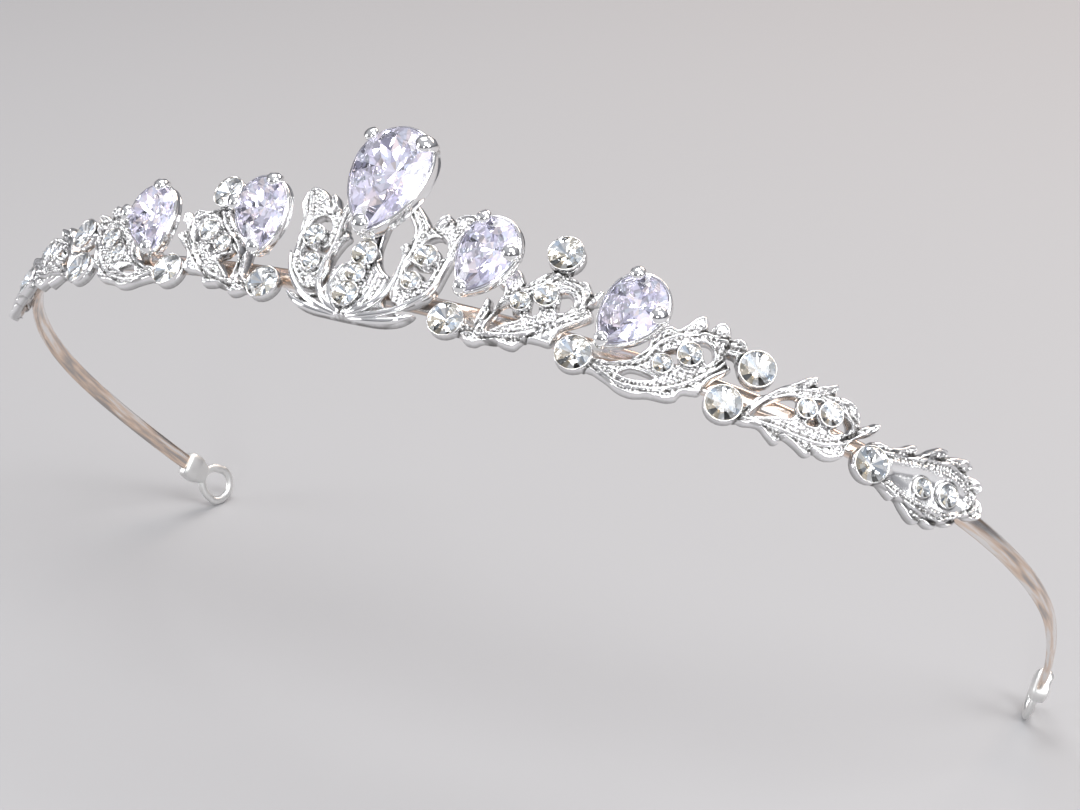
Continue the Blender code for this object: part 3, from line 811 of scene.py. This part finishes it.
def add_ring_terminals():
    """A flat egg-shaped eyelet on a neck, with a crimped sleeve whose ears clasp the strip's end."""
    space = seat(RING_AT, 0.0, 0.0, space=HOOP)
    egg = []
    for x, y in circle((RING_OUTER + RING_HOLE) / 2, 56):
        egg.append((x * 1.22, y * 0.94) if x < 0.0 else (x, y))
    wire = [(0.66 * math.cos(a), 0.48 * math.sin(a)) for a in np.radians(np.arange(0, 360, 30))]
    middle = CRIMP_FROM + CRIMP_LENGTH / 2 - RING_AT
    rows = []
    for u in np.linspace(-1.0, 1.0, 25):
        shrink = (1.0 - u ** 4) ** 0.5
        neck = max(u, 0.0)
        tall = (CRIMP_HEIGHT / 2) * (0.62 + 0.38 * shrink) * (1.0 - 0.30 * neck)
        thick = 1.3 * (0.70 + 0.30 * shrink) * (1.0 - 0.45 * neck)
        row = []
        for a in np.radians(np.arange(0, 360, 12)):
            waist = 1.0 - 0.22 * math.exp(-((math.sin(a) / 0.25) ** 2)) * (math.cos(a) > 0)
            across = math.copysign(abs(math.cos(a)) ** 0.62, math.cos(a)) * thick * waist
            up = math.copysign(abs(math.sin(a)) ** 0.62, math.sin(a)) * tall
            row.append((middle + u * (CRIMP_LENGTH / 2 + 0.15), up, across))
        rows.append(row)
    shape = joined(ring_sweep(egg, wire), loft(rows))
    both("ring_terminal", "_cast", shape, SATIN, space, (1, -1), True, "ring_terminal")


# Centre casting: a palmette with a curved foot, drawn as its right half.
half_outline = lobed(
    [(0.0, -4.0), (2.5, -3.95), (4.8, -3.8), (6.8, -3.2), (8.0, -2.2)],
    [(8.3, -1.5), (7.2, -1.8), (6.0, -1.75), (4.9, -1.55), (4.1, -1.0), (3.8, 0.2), (3.8, 1.6)],
    [(3.7, 2.4), (2.8, 2.8), (1.9, 3.6), (1.3, 4.8), (1.0, 6.0)],
    [(0.9, 8.6), (0.0, 8.7)],
)
right_edge = [point for point in half_outline if point[0] >= 0.0]
left_edge = [(-px, py) for px, py in reversed(right_edge) if px > 0.01]
foot_slot = [(3.0, -2.6), (3.6, -2.0), (5.2, -2.1), (6.2, -2.5), (5.0, -3.0), (3.8, -3.0)]
foot_slots = [foot_slot, [(-px, py) for px, py in foot_slot]]

# Leaf 1: the upright leaf beside the centre, with an arm towards the big pear.
LEAF_1 = lobed(
    [(5.0, -0.9), (6.6, -1.1), (8.0, -0.5), (9.2, 0.5), (9.8, 1.8), (10.2, 5.0), (10.7, 7.6)],
    [(11.8, 9.3), (11.7, 11.0), (11.0, 12.0), (9.9, 12.0), (9.0, 11.6)],
    [(8.3, 11.0), (7.7, 11.4), (7.0, 11.0), (6.4, 10.0)],
    [(6.0, 9.6), (5.1, 10.6), (4.1, 11.4), (3.1, 11.6), (2.7, 10.9), (3.2, 9.9), (3.9, 9.0), (4.3, 8.0)],
    [(4.2, 7.2), (3.3, 6.2), (3.8, 5.2), (4.3, 3.4), (4.25, 1.8), (4.4, 0.2)],
)
LEAF_1_HOLES = (
    lobed(
        [(6.1, 6.5), (6.5, 7.5), (7.3, 8.1), (8.2, 8.1), (8.9, 7.3), (9.1, 6.2)],
        [(8.9, 5.7), (8.3, 6.6), (7.5, 6.95), (6.7, 6.75)],
    ),
    lobed([(5.5, 4.5), (6.4, 4.0), (8.4, 4.0), (8.1, 2.7)], [(7.6, 3.3), (6.8, 3.6), (5.5, 3.4)]),
)

# Leaf 2: lies outwards, with a twig at its foot, the first low cup and the first high cup.
LEAF_2 = (
    arc(12.2, -1.3, CUP, 15.0, 325.0, 18)
    + lobes(
        [(14.6, -2.9), (15.4, -3.4), (16.4, -3.4), (17.2, -2.8)],
        [(18.6, -2.4), (19.6, -2.7), (20.7, -2.7), (21.2, -2.1)],
        [(21.6, -1.3), (23.0, -1.2), (24.4, -1.2), (24.8, -0.3), (25.2, 1.0)],
        [(26.2, 1.8), (27.8, 3.0), (27.9, 3.7), (27.3, 4.6), (28.0, 5.2), (28.3, 6.5)],
        [(27.7, 6.9), (27.0, 6.4), (26.2, 7.2), (25.2, 7.2)],
    )
    + arc(22.6, 9.7, CUP, -60.0, 240.0, 18)
    + lobes(
        [(21.0, 7.0), (20.3, 6.2), (19.4, 5.5), (18.5, 6.5), (17.6, 6.7), (16.2, 6.0), (16.2, 4.6)],
        [(17.1, 4.0), (17.2, 2.7), (16.8, 1.2)],
        [(16.4, 2.4), (15.8, 2.4), (15.5, 1.0), (15.3, -0.4), (15.3, -1.2)],
    )
)
LEAF_2_HOLES = (
    lobed(
        [(17.0, -0.8), (17.5, 1.4), (18.2, 2.2), (18.7, 2.2)],
        [(19.1, 1.5), (20.2, 1.0), (19.2, 0.3), (18.0, -0.6), (17.2, -1.4)],
    ),
    lobed([(20.7, 4.1), (21.2, 3.8), (21.9, 2.3), (21.4, 1.7)], [(20.9, 2.6)]),
    lobed([(23.6, 4.9), (24.5, 5.2), (25.2, 4.4), (25.0, 3.4), (24.1, 2.9)], [(23.8, 3.9)]),
)

# Leaf 3: carries the second low cup at its foot and the second high cup at its head.
LEAF_3 = (
    arc(27.3, -1.2, CUP, 20.0, 318.0, 18)
    + lobes(
        [(30.0, -2.7), (31.8, -3.3), (33.2, -3.9), (34.8, -4.0), (36.4, -3.5), (38.4, -3.3)],
        [(39.4, -2.8), (39.8, -1.9), (40.8, -1.6), (41.5, -1.3), (41.8, -0.2), (42.4, 0.9)],
        [(43.4, 1.9), (43.8, 2.8), (43.1, 3.3), (42.8, 3.9), (43.7, 3.9)],
    )
    + arc(46.3, 3.6, CUP, 205.0, 487.0, 18)
    + lobes(
        [(44.6, 6.0), (43.6, 6.35), (42.8, 6.2)],
        [(42.4, 7.1), (41.6, 7.5), (40.8, 7.1), (40.2, 6.3)],
        [(39.9, 7.2), (39.3, 7.6), (38.5, 7.1), (37.8, 6.0), (37.1, 5.2)],
        [(36.4, 5.4), (35.6, 5.0), (34.5, 4.4), (34.4, 3.2), (34.6, 2.0), (33.6, 0.6)],
        [(32.6, -0.4), (31.2, -0.9), (29.9, -0.7)],
    )
)
LEAF_3_HOLES = (
    lobed([(32.9, -1.9), (33.7, -1.2), (35.0, -1.1), (36.4, -1.3), (35.2, -1.8), (34.0, -2.0)]),
    lobed([(36.8, 2.0), (37.7, 2.5), (38.1, 1.9)], [(38.3, 1.1), (37.6, 1.4)]),
    lobed([(39.3, 4.0), (40.3, 4.35), (41.1, 4.1), (41.5, 3.0)], [(41.2, 2.3), (40.7, 2.9), (40.2, 3.6)]),
)

# Leaf 4: long and open, with a curled tip and the third low cup at its foot.
LEAF_4 = (
    arc(44.2, -1.4, CUP, 20.0, 322.0, 18)
    + lobes(
        [(46.8, -2.8), (48.4, -2.4), (49.5, -3.0), (50.4, -3.5), (51.0, -3.2)],
        [(51.2, -2.4), (52.6, -2.8), (53.9, -3.35), (54.6, -3.1)],
        [(54.9, -2.5), (56.0, -2.8), (57.2, -2.4), (58.0, -1.6), (58.2, -0.6)],
        [(58.5, 0.4), (59.2, 1.3), (60.3, 2.1), (61.0, 3.1), (60.8, 3.8), (60.2, 3.7), (59.6, 3.1)],
        [(58.9, 2.7), (58.4, 3.7), (57.4, 4.5), (56.2, 4.8)],
        [(55.3, 4.6), (55.3, 5.5), (54.8, 5.8), (53.9, 5.3)],
        [(53.0, 4.9), (52.9, 5.5), (52.4, 5.7), (51.4, 5.0), (50.4, 4.0), (49.5, 3.3)],
        [(48.9, 2.7), (48.2, 1.8), (47.2, 0.9), (46.5, -0.3)],
    )
)
LEAF_4_HOLES = (
    lobed(
        [(47.4, -1.3), (48.4, 0.4), (49.3, 1.3), (50.4, 2.0), (51.4, 2.2)],
        [(51.5, 0.7), (51.2, 0.1), (49.8, -0.3), (48.5, -0.9)],
    ),
    lobed([(53.1, 2.7), (53.9, 2.9)], [(53.8, 1.4), (54.1, 0.4)], [(53.2, 0.2), (53.6, 1.6)]),
    lobed([(56.3, 2.9), (57.1, 2.3), (57.6, 1.4), (56.8, 0.8), (55.9, 0.4)], [(56.6, 1.6)]),
)

# Leaf 5: the closed end leaf, with the fourth low cup at its foot.
LEAF_5 = (
    arc(61.1, -1.0, CUP, 120.0, 310.0, 14)
    + lobes(
        [(63.0, -2.8), (63.8, -3.2), (64.6, -3.5), (65.3, -3.2)],
        [(66.2, -3.8), (67.4, -4.5), (68.4, -4.6)],
        [(69.2, -4.0), (70.2, -4.2), (71.1, -3.8)],
        [(71.3, -3.1), (72.5, -2.9), (73.5, -2.0), (73.9, -0.9)],
        [(75.0, -0.8), (76.1, -0.3), (76.5, 0.8), (76.1, 1.8)],
        [(75.2, 2.3), (75.3, 3.3), (74.5, 4.0), (73.3, 4.1)],
        [(73.5, 4.9), (72.8, 5.3), (71.6, 5.3), (70.6, 4.9)],
        [(69.9, 4.5), (69.4, 5.1), (68.4, 4.9), (67.4, 4.1), (66.7, 3.3)],
        [(66.1, 2.8), (65.6, 3.6), (64.8, 3.4), (64.0, 2.7), (62.8, 2.1), (61.4, 2.0), (60.5, 1.6)],
    )
)


def palm(points):
    """The centre casting bellies forwards low down, where its petals meet."""
    return 0.5 * np.exp(-((points[:, 0] / 4.0) ** 2) - ((points[:, 1] + 1.0) / 3.0) ** 2)


def arm(points):
    """Leaf 1's arm comes forward to meet the big pear's collet."""
    return 1.0 * np.clip((5.8 - points[:, 0]) / 2.2, 0.0, 1.0) * np.clip((points[:, 1] - 8.4) / 1.2, 0.0, 1.0)


CENTRE_RIBS = (
    [(0.0, -3.6), (0.0, 8.4)],
    [(0.6, -3.7), (2.0, -3.0), (3.0, -1.4), (3.3, 1.6)],
    [(-0.6, -3.7), (-2.0, -3.0), (-3.0, -1.4), (-3.3, 1.6)],
    [(2.0, -3.6), (5.0, -3.4), (7.6, -2.0)],
    [(-2.0, -3.6), (-5.0, -3.4), (-7.6, -2.0)],
)
LEAF_1_RIBS = (
    [(5.4, -0.6), (4.8, 2.5), (4.9, 6.0), (5.1, 8.6), (3.5, 10.8)],
    [(7.0, -0.4), (9.0, 1.6), (9.6, 5.0), (9.8, 8.0), (10.9, 11.0)],
)
LEAF_2_RIBS = (
    [(14.6, -2.3), (17.5, -1.8), (21.0, -0.8), (24.0, 1.2), (27.0, 4.0)],
    [(16.0, -1.8), (16.5, 0.6), (17.9, 3.0), (21.0, 5.3), (22.6, 7.4)],
    [(24.4, 1.8), (26.4, 4.4), (25.6, 6.2), (23.6, 6.6)],
)
LEAF_3_RIBS = (
    [(29.8, -1.7), (33.0, -3.0), (37.0, -2.4), (40.0, -0.6), (42.8, 2.8)],
    [(30.0, -1.3), (34.4, 0.2), (36.0, 3.2), (39.6, 5.4), (43.8, 5.2)],
)
LEAF_4_RIBS = (
    [(46.5, -2.0), (50.0, -1.7), (54.0, -1.6), (57.2, -0.4), (60.6, 3.4)],
    [(46.8, -1.4), (49.0, 2.1), (52.6, 4.1), (56.0, 3.9), (58.3, 1.6)],
)
LEAF_5_RIBS = (
    [(62.6, -2.2), (66.0, -2.9), (70.6, -3.0), (73.6, -1.0), (75.4, 0.8)],
    [(62.2, 1.0), (66.4, 2.4), (70.0, 3.6), (73.0, 3.2), (75.2, 1.0)],
)
LEAF_5_DISH = curve_through(
    [(62.9, -1.4), (65.4, -2.2), (69.0, -2.3), (72.2, -1.7), (74.0, -0.1)]
    + [(73.4, 1.6), (70.6, 2.3), (66.4, 1.5), (63.2, 0.4)]
)

# Round stones: distance, height and standoff of each girdle. A leaf's small one comes first.
MIDDLE_STONES = (("top", 4.15, 3.0, 3.5), ("middle", 1.4, 2.3, 3.7), ("bottom", -1.4, 3.0, 3.9))
LOW_STONES = ((12.2, -1.3, 2.6), (27.3, -1.2, 2.5), (44.2, -1.4, 2.3), (61.1, -1.0, 2.3))
HIGH_STONES = ((22.6, 9.7, 3.1), (46.3, 3.6, 2.5))
LEAF_STONES = (
    ((6.6, 2.1, 3.1), (7.4, 5.3, 3.5)),
    ((19.8, 2.7, 3.2), (22.4, 4.1, 3.5)),
    ((36.9, 0.5, 2.7), (39.3, 2.4, 2.9)),
    ((52.5, 1.6, 2.4), (55.1, 2.0, 2.6)),
    ((68.0, -0.3, 1.9), (71.3, 0.4, 2.0)),
)
WELLS = [(s, z, RHINESTONE / 2 - 0.05) for s, z, _ in LOW_STONES + HIGH_STONES]
for near, far in LEAF_STONES:
    WELLS.append((near[0], near[1], SMALL_LEAF_STONE / 2))
    WELLS.append((far[0], far[1], BIG_LEAF_STONE / 2))
CENTRE_WELLS = [(0.0, z, diameter / 2 - 0.1) for _, z, diameter, _ in MIDDLE_STONES]

add_headband()
add_ring_terminals()
CENTRE = right_edge + left_edge
add_casting("centre_casting", CENTRE, foot_slots, CENTRE_RIBS, 2.5, CENTRE_WELLS, palm, sides=(1,))
add_casting("leaf_1", LEAF_1, LEAF_1_HOLES, LEAF_1_RIBS, 2.6, WELLS, arm)
add_casting("leaf_2", LEAF_2, LEAF_2_HOLES, LEAF_2_RIBS, 2.6, WELLS)
add_casting("leaf_3", LEAF_3, LEAF_3_HOLES, LEAF_3_RIBS, 2.3, WELLS)
add_casting("leaf_4", LEAF_4, LEAF_4_HOLES, LEAF_4_RIBS, 2.0, WELLS)
add_casting("leaf_5", LEAF_5, (), LEAF_5_RIBS, 2.1, WELLS, dish=LEAF_5_DISH)

# Long strands fan out from the palmette's foot, each a rod along (distance, height, standoff, radius).
FAN = (
    (
        (0.6, -3.7, 2.7, 0.30),
        (3.2, -3.2, 3.1, 0.40),
        (6.2, -1.9, 3.1, 0.38),
        (8.6, 0.4, 3.0, 0.30),
        (9.9, 3.0, 2.9, 0.12),
    ),
    (
        (0.5, -3.5, 2.8, 0.28),
        (2.6, -2.5, 3.3, 0.38),
        (4.2, -0.6, 3.3, 0.36),
        (4.7, 2.4, 3.1, 0.28),
        (4.6, 5.2, 2.9, 0.12),
    ),
    ((0.8, -3.8, 2.5, 0.26), (3.6, -3.7, 2.9, 0.42), (6.4, -3.1, 2.9, 0.40), (8.3, -1.9, 2.7, 0.14)),
    ((0.5, -3.4, 2.9, 0.24), (1.9, -2.2, 3.4, 0.32), (2.6, -0.2, 3.4, 0.30), (2.4, 2.4, 3.0, 0.12)),
)
for number, strand in enumerate(FAN, 1):
    fine = np.array(curve_through(strand))
    rod = tube(on_vine(fine[:, 0], fine[:, 1], fine[:, 2]), fine[:, 3])
    both(f"palmette_strand_{number}", "", rod, POLISHED, VINE, (1, -1), True)

for place, height, diameter, off in MIDDLE_STONES:
    add_round_stone("centre_stone_" + place, 0.0, height, diameter, off, sides=(1,))
add_pear("_centre", 0.0, 12.8, 5.7, 14.0, 10.0, 0.0, 0.0, ((34.0, 1.08), (142.0, 0.85)), sides=(1,))
add_pear("_inner", 14.6, 6.2, 5.1, 9.5, 7.0, -15.0, 10.0, ((5.0, 1.15), (130.0, 1.0)))
add_pear("_outer", 31.9, 4.6, 4.2, 9.5, 7.0, -24.0, 6.0, ((5.0, 1.15), (130.0, 1.0)))
for number, (s, height, off) in enumerate(LOW_STONES, 1):
    add_round_stone(f"low_stone_{number}", s, height, RHINESTONE, off)
for number, (s, height, off) in enumerate(HIGH_STONES, 1):
    add_round_stone(f"high_stone_{number}", s, height, RHINESTONE, off)
for number, (near, far) in enumerate(LEAF_STONES, 1):
    add_round_stone(f"leaf_{number}_small_stone", near[0], near[1], SMALL_LEAF_STONE, near[2])
    add_round_stone(f"leaf_{number}_big_stone", far[0], far[1], BIG_LEAF_STONE, far[2])

# Floor, at the lowest point of the tiara, in metres.
FLOOR_REACH = 3.0
FLOOR_GREY = (0.34, 0.34, 0.35, 1.0)
floor_mesh = bpy.data.meshes.new("floor")
corners = [(x * FLOOR_REACH, y * FLOOR_REACH, cad_box[0][2]) for x, y in ((-1, -1), (1, -1), (1, 1), (-1, 1))]
floor_mesh.from_pydata(corners, [], [(0, 1, 2, 3)])
floor_material = bpy.data.materials.new("floor_matt")
floor_material.use_nodes = True
floor_shader = floor_material.node_tree.nodes["Principled BSDF"]
floor_shader.inputs["Base Color"].default_value = FLOOR_GREY
floor_shader.inputs["Roughness"].default_value = 0.8
floor_mesh.materials.append(floor_material)
floor = bpy.data.objects.new("floor", floor_mesh)
bpy.context.scene.collection.objects.link(floor)

# Studio: a sky that darkens towards the horizon, and soft boxes.
TIARA_FRONT = (0.0, -0.02, 0.01)
world = bpy.data.worlds.new("studio")
bpy.context.scene.world = world
world.use_nodes = True
tree = world.node_tree
way = tree.nodes.new("ShaderNodeTexCoord")
split = tree.nodes.new("ShaderNodeSeparateXYZ")
tree.links.new(way.outputs["Generated"], split.inputs["Vector"])
ramp = tree.nodes.new("ShaderNodeValToRGB")
ramp.color_ramp.elements[0].position = 0.02
ramp.color_ramp.elements[0].color = (0.22, 0.22, 0.24, 1.0)
ramp.color_ramp.elements[1].position = 0.75
ramp.color_ramp.elements[1].color = (0.85, 0.86, 0.90, 1.0)
tree.links.new(split.outputs["Z"], ramp.inputs["Fac"])
tree.links.new(ramp.outputs["Color"], tree.nodes["Background"].inputs["Color"])
tree.nodes["Background"].inputs["Strength"].default_value = 0.6


def soft_box(name, place, width, height, power, colour=(1.0, 1.0, 1.0)):
    """An area light at a place in metres, aimed at the front of the tiara."""
    lamp = bpy.data.lights.new(name, "AREA")
    lamp.shape = "RECTANGLE"
    lamp.size = width
    lamp.size_y = height
    lamp.energy = power
    lamp.color = colour
    holder = bpy.data.objects.new(name, lamp)
    holder.location = place
    aim = Vector(TIARA_FRONT) - Vector(place)
    holder.rotation_euler = aim.to_track_quat("-Z", "Y").to_euler()
    bpy.context.scene.collection.objects.link(holder)


soft_box("key", (0.50, -0.45, 0.92), 0.50, 0.50, 6.5)
soft_box("top", (-0.20, 0.15, 0.90), 0.55, 0.40, 4.5)
soft_box("side", (0.80, -0.25, 0.50), 0.35, 0.55, 4.5)
soft_box("back", (0.1, 0.75, 0.55), 0.6, 0.2, 3.5, (1.0, 0.82, 0.70))
soft_box("left", (-0.85, -0.55, 0.25), 0.35, 0.50, 4.0)
soft_box("small", (0.30, -0.85, 0.30), 0.15, 0.15, 1.5)

# Camera: in front of the tiara's right side and above it, looking down across the front.
CAMERA_PLACE = (0.1221, -0.2141, 0.1188)
FORWARD = Vector((-0.432, 0.803, -0.410)).normalized()
camera_data = bpy.data.cameras.new("camera")
camera_data.lens = 68.3
camera_data.sensor_width = 36.0
camera_data.clip_start = 0.01
camera = bpy.data.objects.new("camera", camera_data)
camera.location = CAMERA_PLACE
camera.rotation_euler = FORWARD.to_track_quat("-Z", "Y").to_euler()
bpy.context.scene.collection.objects.link(camera)
bpy.context.scene.camera = camera
bpy.context.scene.view_settings.view_transform = "Standard"
